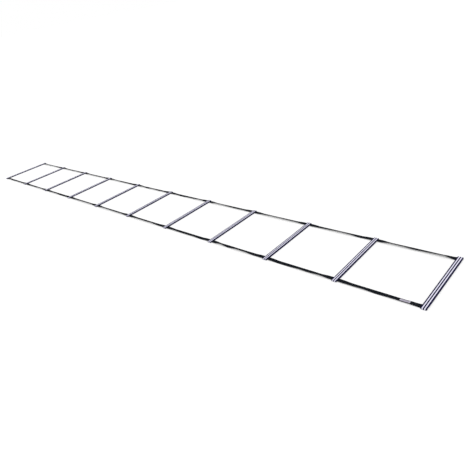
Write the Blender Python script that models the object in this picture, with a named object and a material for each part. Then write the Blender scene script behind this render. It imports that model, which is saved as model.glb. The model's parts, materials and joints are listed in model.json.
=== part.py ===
"""An agility ladder: eleven flat slats threaded on two lengths of webbing.

Metres, +Z up. X runs along the ladder, towards rung 01, and Y runs across it.
The slats lie on the plane z = 0, and the origin is under the middle of the ladder.
The near webbing is on -Y and the far webbing on +Y.

Each link is one rung with the webbing as far as the middle of the squares beside it,
where the links are hinged. The ladder is put away as one bundle on its middle rung: the
half towards +X is turned over and over, square by square, and then the other half, which
comes to lie on the first. Each hinge axis is half as high as all the layers that meet
there, so every layer gets its room. The inner rungs also slide a little on the webbing,
and the webbing of the two end rungs is wrapped round a bar in the slat and sewn back.
"""

import math

import bmesh
import bpy
from mathutils import Matrix, Vector

# Ladder
RUNG_COUNT = 11
PITCH = 0.450
STRAP_SPACING = 0.430

# Webbing
STRAP_WIDTH = 0.025
STRAP_THICKNESS = 0.0015
FLOOR_GAP = 0.0003
MAX_TILT = math.radians(27)
DROP_LENGTH = 0.055
DROP_STEPS = 5
STATION_STEP = 0.026
SPLIT_GAP = 0.0003
LAP_LENGTH = 0.050
LAP_RAMP = 0.016
LAP_RAMP_STEPS = 4
LAP_STEPS = 3
WRAP_STEPS = 6

# Slat of a rung, seen across: rib, groove, rib, groove, rib
EDGE_RIB = 0.0062
CENTRE_RIB = 0.0062
GROOVE_WIDTH = 0.0052
GROOVE_DEPTH = 0.0010
TIP_LENGTH = 0.0060
TIP_RADIUS = 0.0045
TIP_STEPS = 3
TOP_ROUND = 0.0014
TOP_ROUND_STEPS = 2
BOTTOM_ROUND = 0.0007
SHARP_ANGLE = math.radians(35)

# Loop for the webbing at each end of a slat
BAR_THICKNESS = 0.0016
BAR_ROUND = 0.0004
BAR_LET_IN = 0.0015
ROOF_THICKNESS = 0.0024
SLOT_CLEARANCE = 0.00025
SIDE_CLEARANCE = 0.0005

# Pockets under a slat
POCKET_COUNT = 3
POCKET_WALL = 0.0024
POCKET_RIB = 0.0022
POCKET_SKIN = 0.0020
PAD_LENGTH = 0.024
LOOP_WALL = 0.004

# Pale inlay strips and the label
INLAY_PROUD = 0.0002
INLAY_ROUND = 0.0003
LABEL_LENGTH = 0.048
LABEL_WIDTH = 0.0170
LABEL_THICKNESS = 0.0006
LABEL_DISTANCE = 0.090

# Clearances, the travel of a rung and the overrun of cutters
SEAT_GAP = 0.0003
RUNG_TRAVEL = 0.020
PILE_CLEARANCE = 0.0010
OVERRUN = 0.002

# How far the webbing is tilted in each square, as shares of MAX_TILT, at the places
# along the square that TILT_PLACE_SHARES names. The first square is by rung 01.
TILT_PLACE_SHARES = (0.20, 0.35, 0.50, 0.65, 0.80)
NEAR_TILT_SHARES = (
    (0.30, 0.30, 0.00, 0.45, 0.30), (0.75, 0.30, 0.50, 0.05, 0.00),
    (0.20, 0.75, 0.85, 0.10, 1.00), (0.00, 0.45, 0.30, 0.35, 0.55),
    (0.35, 0.90, 0.75, 0.80, 0.70), (0.90, 0.80, 0.85, 1.00, 1.00),
    (1.00, 0.95, 0.95, 0.80, 0.55), (0.30, 0.10, 0.70, 0.80, 0.45),
    (1.00, 1.00, 0.55, 0.65, 0.35), (0.70, 0.55, 0.65, 0.20, 0.60),
)
FAR_TILT_SHARES = (
    (1.00, 0.75, 0.50, 0.95, 1.00), (0.10, 0.80, 1.00, 0.70, 0.45),
    (0.80, 0.85, 1.00, 1.00, 0.70), (0.55, 0.50, 0.60, 1.00, 1.00),
    (1.00, 0.50, 0.50, 0.00, 0.55), (0.65, 0.45, 1.00, 0.15, 1.00),
    (0.35, 0.65, 0.50, 0.95, 0.95), (0.75, 0.75, 0.80, 0.65, 1.00),
    (0.65, 0.85, 0.60, 0.75, 0.90), (0.45, 0.85, 1.00, 0.70, 1.00),
)

# Worked out from the sizes above
RUNG_WIDTH = 2 * EDGE_RIB + 2 * GROOVE_WIDTH + CENTRE_RIB
RUNG_LENGTH = STRAP_SPACING + STRAP_WIDTH + 2 * TIP_LENGTH
LAYER_HEIGHT = STRAP_THICKNESS + 2 * SLOT_CLEARANCE
BAR_TOP = LAYER_HEIGHT + BAR_THICKNESS
SLOT_TOP = BAR_TOP + LAYER_HEIGHT
RUNG_HEIGHT = SLOT_TOP + ROOF_THICKNESS
SLOT_CENTRE = BAR_TOP + LAYER_HEIGHT / 2
LAP_CENTRE = LAYER_HEIGHT / 2
LAP_LIFT = STRAP_THICKNESS + SEAT_GAP
WRAP_RADIUS = (SLOT_CENTRE - LAP_CENTRE) / 2
BAR_SETBACK = WRAP_RADIUS + STRAP_THICKNESS / 2 + SEAT_GAP
FLAT_REACH = RUNG_WIDTH / 2 + RUNG_TRAVEL + SEAT_GAP
LAP_REACH = RUNG_WIDTH / 2 + LAP_LENGTH
STRAP_TOP = FLOOR_GAP + STRAP_WIDTH * math.sin(MAX_TILT) + STRAP_THICKNESS * math.cos(MAX_TILT)
LAYER = max(STRAP_TOP, RUNG_HEIGHT + INLAY_PROUD)
MIDDLE = RUNG_COUNT // 2
ENDS = (0, RUNG_COUNT - 1)


def clear_scene():
    """Remove the objects that a new file opens with."""
    for thing in list(bpy.data.objects):
        bpy.data.objects.remove(thing, do_unlink=True)


def make_material(name, colour, roughness):
    """Make a Principled material of one colour, for plastic or cloth."""
    material = bpy.data.materials.new(name)
    material.use_nodes = True
    shader = material.node_tree.nodes["Principled BSDF"]
    shader.inputs["Base Color"].default_value = (*colour, 1.0)
    shader.inputs["Roughness"].default_value = roughness
    shader.inputs["Metallic"].default_value = 0.0
    material.diffuse_color = (*colour, 1.0)
    return material


def add_object(name, mesh):
    """Link an object that shows a mesh."""
    item = bpy.data.objects.new(name, mesh)
    bpy.context.scene.collection.objects.link(item)
    return item


def finish_mesh(bm, name):
    """Turn a bmesh into a mesh whose faces point out."""
    bmesh.ops.recalc_face_normals(bm, faces=bm.faces)
    mesh = bpy.data.meshes.new(name)
    bm.to_mesh(mesh)
    bm.free()
    return mesh


def add_box(bm, low, high):
    """Add a closed box between two corners."""
    low = Vector(low)
    high = Vector(high)
    size = high - low
    place = Matrix.Translation((low + high) / 2) @ Matrix.Diagonal((*size, 1.0))
    bmesh.ops.create_cube(bm, size=1.0, matrix=place)


def smooth_step(value):
    """Rise from 0 to 1 with level ends."""
    value = min(max(value, 0.0), 1.0)
    return value * value * (3 - 2 * value)


def mix(first, second, share):
    """Go from the first value to the second by a share."""
    return first + (second - first) * share


# Where things are along the ladder


def rung_x(index):
    """Centre of a rung, counted from 0 at the +X end."""
    return ((RUNG_COUNT - 1) / 2 - index) * PITCH


def fold_place(index):
    """Point on the hinge axis between rung index and the next one.

    What turns over there is the link away from the middle, with all that is already
    folded onto it. It lands on one link, or at the middle on the whole first half.
    """
    turned = index + 1 if index < MIDDLE else RUNG_COUNT - 1 - index
    under = MIDDLE + 1 if index == MIDDLE else 1
    bundle = (turned + under) * (LAYER + PILE_CLEARANCE) - PILE_CLEARANCE
    return Vector(((rung_x(index) + rung_x(index + 1)) / 2, 0, bundle / 2))


# The slat of a rung


def tip_outline():
    """Outline of a slat in plan: a rectangle with rounded corners."""
    radius = min(TIP_RADIUS, EDGE_RIB)
    across = RUNG_WIDTH / 2 - radius
    along = RUNG_LENGTH / 2 - radius
    corners = ((across, along), (-across, along), (-across, -along), (across, -along))
    points = []
    for quarter, (x, y) in enumerate(corners):
        for step in range(TIP_STEPS + 1):
            angle = math.radians(90) * (quarter + step / TIP_STEPS)
            points.append(Vector((x + radius * math.cos(angle), y + radius * math.sin(angle), 0)))
    return points


def slat_blank():
    """The slat before it is cut: its outline raised, with rounded rims."""
    bm = bmesh.new()
    base = bm.faces.new([bm.verts.new(point) for point in tip_outline()])
    raised = bmesh.ops.extrude_face_region(bm, geom=[base])["geom"]
    top = [item for item in raised if isinstance(item, bmesh.types.BMVert)]
    bmesh.ops.translate(bm, verts=top, vec=(0, 0, RUNG_HEIGHT))
    middle = RUNG_HEIGHT / 2
    level = [edge for edge in bm.edges if edge.verts[0].co.z == edge.verts[1].co.z]
    upper = [edge for edge in level if edge.verts[0].co.z > middle]
    lower = [edge for edge in level if edge.verts[0].co.z < middle]
    bmesh.ops.bevel(bm, geom=upper, offset=TOP_ROUND, segments=TOP_ROUND_STEPS,
                    profile=0.5, affect="EDGES")
    bmesh.ops.bevel(bm, geom=lower, offset=BOTTOM_ROUND, segments=1, profile=0.5, affect="EDGES")
    return finish_mesh(bm, "slat_blank")


def pocket_spans():
    """Start and end, along Y, of each pocket of one half of a slat."""
    start = PAD_LENGTH / 2
    end = STRAP_SPACING / 2 - STRAP_WIDTH / 2 - SIDE_CLEARANCE - LOOP_WALL
    length = (end - start - (POCKET_COUNT - 1) * POCKET_RIB) / POCKET_COUNT
    starts = [start + index * (length + POCKET_RIB) for index in range(POCKET_COUNT)]
    return [(low, low + length) for low in starts]


def slat_cutter():
    """What is taken out of the blank: grooves, pockets and the webbing's windows."""
    bm = bmesh.new()
    past_tip = RUNG_LENGTH / 2 + OVERRUN
    past_edge = RUNG_WIDTH / 2 + OVERRUN
    window = STRAP_WIDTH / 2 + SIDE_CLEARANCE
    ceiling = RUNG_HEIGHT - GROOVE_DEPTH - POCKET_SKIN
    for side in (-1, 1):
        inner = side * CENTRE_RIB / 2
        outer = side * (CENTRE_RIB / 2 + GROOVE_WIDTH)
        add_box(bm, (min(inner, outer), -past_tip, RUNG_HEIGHT - GROOVE_DEPTH),
                (max(inner, outer), past_tip, RUNG_HEIGHT + OVERRUN))
        strap_y = side * STRAP_SPACING / 2
        add_box(bm, (-past_edge, strap_y - window, -OVERRUN),
                (past_edge, strap_y + window, SLOT_TOP))
        wall_x = side * (RUNG_WIDTH / 2 - POCKET_WALL)
        rib_x = side * POCKET_RIB / 2
        for start, end in pocket_spans():
            for half in (-1, 1):
                add_box(bm, (min(wall_x, rib_x), min(half * start, half * end), -OVERRUN),
                        (max(wall_x, rib_x), max(half * start, half * end), ceiling))
    return finish_mesh(bm, "slat_cutter")


def loop_bars():
    """The bar under the webbing at each end, let into the slat on both sides of its window."""
    bm = bmesh.new()
    reach = STRAP_WIDTH / 2 + SIDE_CLEARANCE + BAR_LET_IN
    half = RUNG_WIDTH / 2 - BAR_SETBACK
    for side in (-1, 1):
        strap_y = side * STRAP_SPACING / 2
        add_box(bm, (-half, strap_y - reach, LAYER_HEIGHT), (half, strap_y + reach, BAR_TOP))
    long_edges = [edge for edge in bm.edges if edge.verts[0].co.y != edge.verts[1].co.y]
    bmesh.ops.bevel(bm, geom=long_edges, offset=BAR_ROUND, segments=1, profile=0.5, affect="EDGES")
    return finish_mesh(bm, "loop_bars")


def add_boolean(item, tool, operation):
    """Cut or join with a tool that isn't a piece of the ladder."""
    step = item.modifiers.new(operation.lower(), "BOOLEAN")
    step.operation = operation
    step.solver = "EXACT"
    step.object = tool
    tool.hide_render = True
    tool.display_type = "WIRE"


def make_rung_mesh(material):
    """Model one slat, and give back its finished mesh for all the rungs."""
    blank = add_object("slat_blank", slat_blank())
    tools = [add_object("slat_cutter", slat_cutter()), add_object("loop_bars", loop_bars())]
    add_boolean(blank, tools[0], "DIFFERENCE")
    add_boolean(blank, tools[1], "UNION")
    shape = blank.evaluated_get(bpy.context.evaluated_depsgraph_get())
    mesh = bpy.data.meshes.new_from_object(shape)
    mesh.name = "rung"
    mesh.materials.clear()
    mesh.materials.append(material)
    mesh.shade_smooth()
    mesh.set_sharp_from_angle(angle=SHARP_ANGLE)
    for item in (blank, *tools):
        bpy.data.objects.remove(item, do_unlink=True)
    return mesh


def make_inlay_mesh(side, material):
    """Pale strip that lies in one of the two grooves, with its upper edges eased."""
    bm = bmesh.new()
    inner = side * (CENTRE_RIB / 2 + SEAT_GAP)
    outer = side * (CENTRE_RIB / 2 + GROOVE_WIDTH - SEAT_GAP)
    end = RUNG_LENGTH / 2 - TOP_ROUND
    top = RUNG_HEIGHT + INLAY_PROUD
    add_box(bm, (min(inner, outer), -end, RUNG_HEIGHT - GROOVE_DEPTH + SEAT_GAP),
            (max(inner, outer), end, top))
    rim = [edge for edge in bm.edges
           if all(vert.co.z > RUNG_HEIGHT for vert in edge.verts)]
    bmesh.ops.bevel(bm, geom=rim, offset=INLAY_ROUND, segments=1, profile=0.5, affect="EDGES")
    mesh = finish_mesh(bm, "inlay")
    mesh.materials.append(material)
    return mesh


# The webbing


def tilt_share(shares, along):
    """Read the tilt of one square at a share of its length, eased between its places."""
    if along <= TILT_PLACE_SHARES[0]:
        return shares[0]
    for index in range(len(shares) - 1):
        low, high = TILT_PLACE_SHARES[index:index + 2]
        if along <= high:
            return mix(shares[index], shares[index + 1], smooth_step((along - low) / (high - low)))
    return shares[-1]


def floor_level(tilt):
    """Height of the webbing's middle where its lower edge is just above the floor."""
    return FLOOR_GAP + STRAP_WIDTH / 2 * math.sin(tilt) + STRAP_THICKNESS / 2 * math.cos(tilt)


def rung_lift(distance, index):
    """How far a rung, and the lap of an end rung, lift the webbing off the floor."""
    in_slat = SLOT_CENTRE - floor_level(0)
    if index not in ENDS:
        return in_slat * (1 - smooth_step((distance - FLAT_REACH) / DROP_LENGTH))
    lapped = mix(in_slat, LAP_LIFT, smooth_step((distance - RUNG_WIDTH / 2) / LAP_RAMP))
    return lapped * (1 - smooth_step((distance - LAP_REACH) / LAP_RAMP))


def strap_section(x, index, table):
    """Height of the webbing's middle and its tilt at x, on the link of a rung."""
    offset = x - rung_x(index)
    square = index if offset < 0 else index - 1
    distance = abs(offset)
    along = distance / PITCH if offset < 0 else 1 - distance / PITCH
    level_reach = RUNG_WIDTH / 2 if index in ENDS else FLAT_REACH
    share = tilt_share(table[square % len(table)], along)
    tilt = MAX_TILT * share * smooth_step((distance - level_reach) / DROP_LENGTH)
    return floor_level(tilt) + rung_lift(distance, index) * math.cos(tilt), tilt


def section_axes(tilt):
    """Directions across the webbing and out of its upper face."""
    across = Vector((0, math.cos(tilt), -math.sin(tilt)))
    return across, Vector((0, math.sin(tilt), math.cos(tilt)))


def spaced(start, end, count):
    """Places in even steps from the start, without the end."""
    return [mix(start, end, step / count) for step in range(count)]


def half_link_distances(index):
    """Distances from a rung's centre at which the webbing gets a section, outwards."""
    if index in ENDS:
        ramp_end = RUNG_WIDTH / 2 + LAP_RAMP
        down = LAP_REACH + LAP_RAMP
        marks = [0.0]
        marks += spaced(RUNG_WIDTH / 2, ramp_end, LAP_RAMP_STEPS)
        marks += spaced(ramp_end, LAP_REACH, LAP_STEPS)
        marks += spaced(LAP_REACH, down, LAP_RAMP_STEPS)
    else:
        down = FLAT_REACH + DROP_LENGTH
        marks = [0.0] + spaced(FLAT_REACH, down, DROP_STEPS)
    end = PITCH / 2 - SPLIT_GAP / 2
    count = max(1, round((end - down) / STATION_STEP))
    return marks + spaced(down, end, count) + [end]


def level_rings(index, table, way):
    """Sections of the webbing from a rung's centre to the middle of the square on one side."""
    rings = []
    for distance in half_link_distances(index):
        x = rung_x(index) + way * distance
        level, tilt = strap_section(x, index, table)
        rings.append((Vector((x, 0, level)), *section_axes(tilt)))
    return rings


def wrap_rings(index, table, way):
    """Sections of an end wrap: round the bar of the slat, and back under the webbing."""
    turn_x = rung_x(index) + way * (RUNG_WIDTH / 2 - BAR_SETBACK)
    middle = (SLOT_CENTRE + LAP_CENTRE) / 2
    rings = []
    for step in range(WRAP_STEPS + 1):
        angle = math.radians(180) * step / WRAP_STEPS
        out = Vector((way * math.sin(angle), 0, math.cos(angle)))
        rings.append((Vector((turn_x, 0, middle)) + out * WRAP_RADIUS, Vector((0, 1, 0)), out))
    for distance in half_link_distances(index):
        if RUNG_WIDTH / 2 <= distance <= LAP_REACH:
            x = rung_x(index) - way * distance
            tilt = strap_section(x, index, table)[1]
            across, up = section_axes(tilt)
            below = Vector((x, -LAP_LIFT * math.sin(tilt), floor_level(tilt)))
            rings.append((below, across, -up))
    return rings


def ribbon_mesh(rings, width, thickness, lift, material):
    """Loft a flat strip through its sections, with its faces that far above the webbing's."""
    bm = bmesh.new()
    loops = []
    for centre, across, up in rings:
        middle = centre + up * lift
        corners = ((-1, -1), (1, -1), (1, 1), (-1, 1))
        loops.append([bm.verts.new(middle + across * (a * width / 2) + up * (b * thickness / 2))
                      for a, b in corners])
    for first, second in zip(loops, loops[1:]):
        for a in range(4):
            b = (a + 1) % 4
            bm.faces.new((first[a], first[b], second[b], second[a]))
    bm.faces.new(loops[0])
    bm.faces.new(list(reversed(loops[-1])))
    mesh = finish_mesh(bm, "ribbon")
    mesh.materials.append(material)
    return mesh


def make_strap_mesh(index, table, material):
    """Webbing of one link on one side."""
    towards_next = level_rings(index, table, -1)
    if index == 0:
        rings = list(reversed(towards_next)) + wrap_rings(index, table, 1)
    elif index == RUNG_COUNT - 1:
        rings = list(reversed(level_rings(index, table, 1))) + wrap_rings(index, table, -1)
    else:
        rings = list(reversed(towards_next)) + level_rings(index, table, 1)[1:]
    return ribbon_mesh(rings, STRAP_WIDTH, STRAP_THICKNESS, 0, material)


def make_label_mesh(material):
    """Bare woven label, sewn on the near webbing beside rung 01."""
    start = LABEL_DISTANCE - LABEL_LENGTH / 2
    end = LABEL_DISTANCE + LABEL_LENGTH / 2
    between = [mark for mark in half_link_distances(0) if start < mark < end]
    rings = []
    for distance in [start, *between, end]:
        x = rung_x(0) - distance
        level, tilt = strap_section(x, 0, NEAR_TILT_SHARES)
        rings.append((Vector((x, 0, level)), *section_axes(tilt)))
    lift = STRAP_THICKNESS / 2 + SEAT_GAP + LABEL_THICKNESS / 2
    return ribbon_mesh(rings, LABEL_WIDTH, LABEL_THICKNESS, lift, material)


# The whole ladder


def make_link_empty(index, parent, place):
    """Empty that carries one link, at a place in the world."""
    empty = bpy.data.objects.new(f"link_{index + 1:02d}", None)
    bpy.context.scene.collection.objects.link(empty)
    empty.empty_display_size = RUNG_WIDTH
    empty.parent = parent
    parent_place = Vector((0, 0, 0)) if parent is None else Vector(parent["place"])
    empty.location = place - parent_place
    empty["place"] = tuple(place)
    return empty


def make_links():
    """Empties for all links: the middle one's under its rung, the others' on their hinges."""
    links = {MIDDLE: make_link_empty(MIDDLE, None, Vector((rung_x(MIDDLE), 0, 0)))}
    for index in range(MIDDLE - 1, -1, -1):
        links[index] = make_link_empty(index, links[index + 1], fold_place(index))
    for index in range(MIDDLE + 1, RUNG_COUNT):
        links[index] = make_link_empty(index, links[index - 1], fold_place(index - 1))
    return links


def hang(item, empty, place):
    """Carry a piece by a link, with the piece's origin at a place in the world."""
    item.parent = empty
    item.location = Vector(place) - Vector(empty["place"])


def move_mesh(mesh, offset):
    """Shift a mesh, so that its object's origin can lie elsewhere."""
    mesh.transform(Matrix.Translation(offset))
    return mesh


def build_ladder():
    """Make every link, from rung 01 at +X to the last rung at -X."""
    slat = make_material("navy_slat", (0.0080, 0.0070, 0.0450), 0.40)
    pale = make_material("pale_inlay", (0.840, 0.830, 0.990), 0.45)
    webbing = make_material("black_webbing", (0.0090, 0.0095, 0.0110), 0.85)
    woven = make_material("woven_label", (0.440, 0.410, 0.495), 0.80)

    rung_mesh = make_rung_mesh(slat)
    inlays = {"front": make_inlay_mesh(1, pale), "back": make_inlay_mesh(-1, pale)}
    sides = {"near": (-1, NEAR_TILT_SHARES), "far": (1, FAR_TILT_SHARES)}

    links = make_links()
    for index in range(RUNG_COUNT):
        link = links[index]
        number = f"{index + 1:02d}"
        centre = Vector((rung_x(index), 0, 0))
        rung = add_object(f"rung_{number}", rung_mesh)
        hang(rung, link, centre)
        for groove, mesh in inlays.items():
            inlay = add_object(f"inlay_{number}_{groove}", mesh)
            inlay.parent = rung
        for side, (sign, table) in sides.items():
            strap_y = Vector((0, sign * STRAP_SPACING / 2, 0))
            origin = Vector(link["place"])
            mesh = move_mesh(make_strap_mesh(index, table, webbing), strap_y - origin)
            hang(add_object(f"{side}_strap_{number}", mesh), link, origin)
        if index == 0:
            origin = Vector(link["place"])
            offset = Vector((0, -STRAP_SPACING / 2, 0)) - origin
            label = add_object("sewn_label", move_mesh(make_label_mesh(woven), offset))
            hang(label, link, origin)


clear_scene()
build_ladder()
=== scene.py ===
# %% [markdown]
# # An agility ladder on a white floor
# Eleven plastic slats are threaded on two lengths of black webbing. The packed model gives
# every size and place, and this lesson dresses it: finer slats, real webbing with its sewn
# ends, a bare woven label, and a finish for each. It starts by loading that frame.
# %% Load the frame
import contextlib
import json
import math
import bmesh
import bpy
import numpy as np
from mathutils import Matrix, Quaternion, Vector

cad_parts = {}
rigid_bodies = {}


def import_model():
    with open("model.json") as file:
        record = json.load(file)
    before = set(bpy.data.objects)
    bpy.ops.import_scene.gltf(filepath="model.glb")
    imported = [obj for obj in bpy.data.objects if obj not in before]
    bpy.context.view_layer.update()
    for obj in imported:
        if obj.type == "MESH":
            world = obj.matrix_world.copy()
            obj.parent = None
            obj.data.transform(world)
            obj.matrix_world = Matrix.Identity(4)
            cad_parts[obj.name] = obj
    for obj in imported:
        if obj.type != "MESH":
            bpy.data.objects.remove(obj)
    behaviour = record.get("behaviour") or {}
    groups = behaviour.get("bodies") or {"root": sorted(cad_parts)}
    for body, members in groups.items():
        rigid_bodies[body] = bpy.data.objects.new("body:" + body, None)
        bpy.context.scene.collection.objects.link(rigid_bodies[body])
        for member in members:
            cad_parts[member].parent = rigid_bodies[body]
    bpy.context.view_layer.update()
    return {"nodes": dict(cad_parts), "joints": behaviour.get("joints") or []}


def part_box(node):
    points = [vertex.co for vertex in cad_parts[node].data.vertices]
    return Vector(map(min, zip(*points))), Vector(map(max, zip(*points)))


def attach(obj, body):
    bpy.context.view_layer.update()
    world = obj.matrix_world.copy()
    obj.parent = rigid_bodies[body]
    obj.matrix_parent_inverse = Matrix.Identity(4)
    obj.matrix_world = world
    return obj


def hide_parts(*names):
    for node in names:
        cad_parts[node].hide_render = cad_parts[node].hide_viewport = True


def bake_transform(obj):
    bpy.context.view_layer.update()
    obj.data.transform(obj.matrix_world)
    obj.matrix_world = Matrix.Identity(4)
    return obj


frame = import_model()

# %% [markdown]
# ## Sizes
# The slats' sizes and places are read from the frame, so that all later cells speak of the
# same ladder. The webbing is a stock size, 25 mm wide and 1.5 mm thick. Smaller sizes, such
# as ribs and grooves, are named in the cell that first needs them.
# %% Sizes of the slats and the webbing
MM = 0.001
RUNG_COUNT = sum(name.startswith("rung_") for name in frame["nodes"])
slat_low, slat_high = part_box("rung_01")
SLAT_WIDTH = slat_high.x - slat_low.x
SLAT_LENGTH = slat_high.y - slat_low.y
SLAT_HEIGHT = slat_high.z
WEBBING_WIDTH = 25 * MM
WEBBING_THICKNESS = 1.5 * MM

rung_places = []
for number in range(1, RUNG_COUNT + 1):
    low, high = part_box(f"rung_{number:02d}")
    rung_places.append((low.x + high.x) / 2)
low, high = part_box("far_strap_06")
WEBBING_PLACE = round((low.y + high.y) / 2, 4)
slat_sizes = [round(side / MM, 1) for side in (SLAT_LENGTH, SLAT_WIDTH, SLAT_HEIGHT)]
print(RUNG_COUNT, "slats of", slat_sizes, "mm")
print("webbing centres", round(2 * WEBBING_PLACE / MM, 1), "mm apart")

# %% [markdown]
# ## The camera
# It comes first, so that each piece can be judged in the picture as soon as it is there.
# It stands at chest height beside the near end and looks along the ladder with a slight
# roll. Aiming it by a point on the floor and then rolling it about its own axis keeps the
# two decisions apart, which three Euler angles would mix.
# %% The camera
CAMERA_PLACE = Vector((2.8449, -1.8101, 1.3642))
CAMERA_AIM = Vector((0.9911, -0.0859, 0.0))
CAMERA_ROLL = math.radians(-11.19)
CAMERA_LENS = 34.37
CAMERA_SENSOR = 36.0
CAMERA_REACH = 1000.0

camera = bpy.data.objects.new("camera", bpy.data.cameras.new("camera"))
bpy.context.scene.collection.objects.link(camera)
camera.data.lens = CAMERA_LENS
camera.data.sensor_width = CAMERA_SENSOR
camera.data.clip_end = CAMERA_REACH
camera.location = CAMERA_PLACE
camera.rotation_mode = "QUATERNION"
level = (CAMERA_AIM - CAMERA_PLACE).to_track_quat("-Z", "Y")
camera.rotation_quaternion = level @ Quaternion((0, 0, 1), CAMERA_ROLL)
bpy.context.scene.camera = camera
bpy.context.scene.view_settings.view_transform = "Standard"
right = camera.rotation_quaternion @ Vector((1, 0, 0))
print("camera's right-hand side points to", [round(part, 4) for part in right])

# %% [markdown]
# ## Shader maths as plain expressions
# A procedural finish is mostly arithmetic: a rib is the sine of a place, a scuff is a noise
# above a threshold. Wiring that by hand hides the idea, so a small class wraps a socket and
# lets Python's own operators add the Math nodes. One more method makes any other node.
# %% A socket that does arithmetic
class Wire:
    """One output of a node, on which Python's operators add Math nodes."""

    def __init__(self, tree, socket):
        self.tree = tree
        self.socket = socket

    def node(self, kind, settings=None, out=0, **inputs):
        """Add a node, set its settings, then its inputs, and give back one of its outputs."""
        made = self.tree.nodes.new(kind)
        for name, value in (settings or {}).items():
            setattr(made, name, value)
        for name, value in inputs.items():
            numbered = name[0] == "i" and name[1:].isdigit()
            key = int(name[1:]) if numbered else name.replace("_", " ")
            if isinstance(value, Wire):
                self.tree.links.new(value.socket, made.inputs[key])
            else:
                made.inputs[key].default_value = value
        return Wire(self.tree, made.outputs[out])

    def math(self, operation, *others):
        """Add one Math node with this wire first."""
        values = {f"i{index + 1}": other for index, other in enumerate(others)}
        return self.node("ShaderNodeMath", {"operation": operation}, i0=self, **values)

    def parts(self):
        """Split a vector into its three numbers."""
        split = self.node("ShaderNodeSeparateXYZ", Vector=self).socket.node
        return [Wire(self.tree, output) for output in split.outputs]

    def rise(self, low, high):
        """Go from 0 to 1 between two values, with eased ends."""
        return self.node("ShaderNodeMapRange", {"interpolation_type": "SMOOTHSTEP"},
                         i0=self, i1=low, i2=high)

    def ridges(self, power=0.6):
        """Turn a count of threads into ridges, one for each, broader for a lower power."""
        return (self * math.pi).math("SINE").math("ABSOLUTE").math("POWER", power)

    def __add__(self, other):
        return self.math("ADD", other)

    def __sub__(self, other):
        return self.math("SUBTRACT", other)

    def __mul__(self, other):
        return self.math("MULTIPLY", other)

    def __truediv__(self, other):
        return self.math("DIVIDE", other)

    def __mod__(self, other):
        return self.math("FLOORED_MODULO", other)

    def __abs__(self):
        return self.math("ABSOLUTE")

    def __rsub__(self, other):
        return (self * -1.0) + other

    __radd__ = __add__
    __rmul__ = __mul__

    def colour(self, first, second):
        """Mix a colour or a wire with a second colour, of which this wire is the share."""
        if not isinstance(first, Wire):
            first = (*first, 1.0)
        return self.node("ShaderNodeMix", {"data_type": "RGBA"}, out=2, i0=self, i6=first,
                         i7=(*second, 1.0))


print("Wire knows:", [name for name in vars(Wire) if not name.startswith("__")])

# %% [markdown]
# ## Where each finish starts
# A finish starts as Blender's plain shader. What is the same all over a surface stays a
# value on the shader's own socket, and only what varies is fed to it by a wire.
# %% Start a material and feed its shader
def new_material(name, roughness=0.5, specular=0.5):
    """Give back a new material, its shader and a wire to start expressions from."""
    material = bpy.data.materials.new(name)
    material.use_nodes = True
    shader = material.node_tree.nodes["Principled BSDF"]
    shader.inputs["Roughness"].default_value = roughness
    shader.inputs["Specular IOR Level"].default_value = specular
    return material, shader, Wire(material.node_tree, shader.outputs[0])


def times(share, colour):
    """Make a colour darker or paler."""
    return tuple(share * part for part in colour)


def feed(shader, **inputs):
    """Link wires to a shader's sockets."""
    for name, wire in inputs.items():
        wire.tree.links.new(wire.socket, shader.inputs[name.replace("_", " ")])


print("helpers:", [helper.__name__ for helper in (new_material, times, feed)])

# %% [markdown]
# ## Floor, world and light
# The ladder lies in a white studio: no horizon, no tint, and just a breath of shadow. A
# floor so bright that it clips would need too much light on the ladder as well. Instead the
# floor is an ordinary pale one, and only what the camera sees of it is lifted to white, by
# a little emission on camera rays. The world is white to the camera and in reflections, so
# that whatever shines mirrors a white room, and it lights with a plain level.
# %% Floor, world and light
FLOOR_HALF = 300.0
FLOOR_GREY = 0.80
FLOOR_LIFT = 0.26
WORLD_LIGHT = 0.78
SUN_STRENGTH = 0.85
SUN_SOFTNESS = math.radians(50)
SUN_TILT = (math.radians(24), math.radians(18), 0.0)

bpy.ops.object.select_all(action="DESELECT")
bpy.ops.mesh.primitive_plane_add(size=2 * FLOOR_HALF)
floor = bpy.context.object
floor.name = "floor"
material, shader, wire = new_material("white_floor", roughness=0.9, specular=0.0)
shader.inputs["Base Color"].default_value = (FLOOR_GREY, FLOOR_GREY, FLOOR_GREY, 1.0)
shader.inputs["Emission Strength"].default_value = 1.0
seen = wire.node("ShaderNodeLightPath", out="Is Camera Ray")
feed(shader, Emission_Color=seen.colour((0.0, 0.0, 0.0), (FLOOR_LIFT, FLOOR_LIFT, FLOOR_LIFT)))
floor.data.materials.append(material)

world = bpy.data.worlds.new("white_room")
bpy.context.scene.world = world
world.use_nodes = True
background = world.node_tree.nodes["Background"]
wire = Wire(world.node_tree, background.outputs[0])
mirrored = sum((wire.node("ShaderNodeLightPath", out=kind) for kind in
                ("Is Camera Ray", "Is Glossy Ray", "Is Transmission Ray")), start=0.0)
mirrored = mirrored.math("MINIMUM", 1.0)
feed(background, Color=mirrored.colour((WORLD_LIGHT,) * 3, (1.0, 1.0, 1.0)))

sun = bpy.data.objects.new("soft_lamp", bpy.data.lights.new("soft_lamp", "SUN"))
bpy.context.scene.collection.objects.link(sun)
sun.data.energy = SUN_STRENGTH
sun.data.angle = SUN_SOFTNESS
sun.rotation_euler = SUN_TILT
print("light on a level white card:", round(WORLD_LIGHT + SUN_STRENGTH / math.pi, 2))

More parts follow.
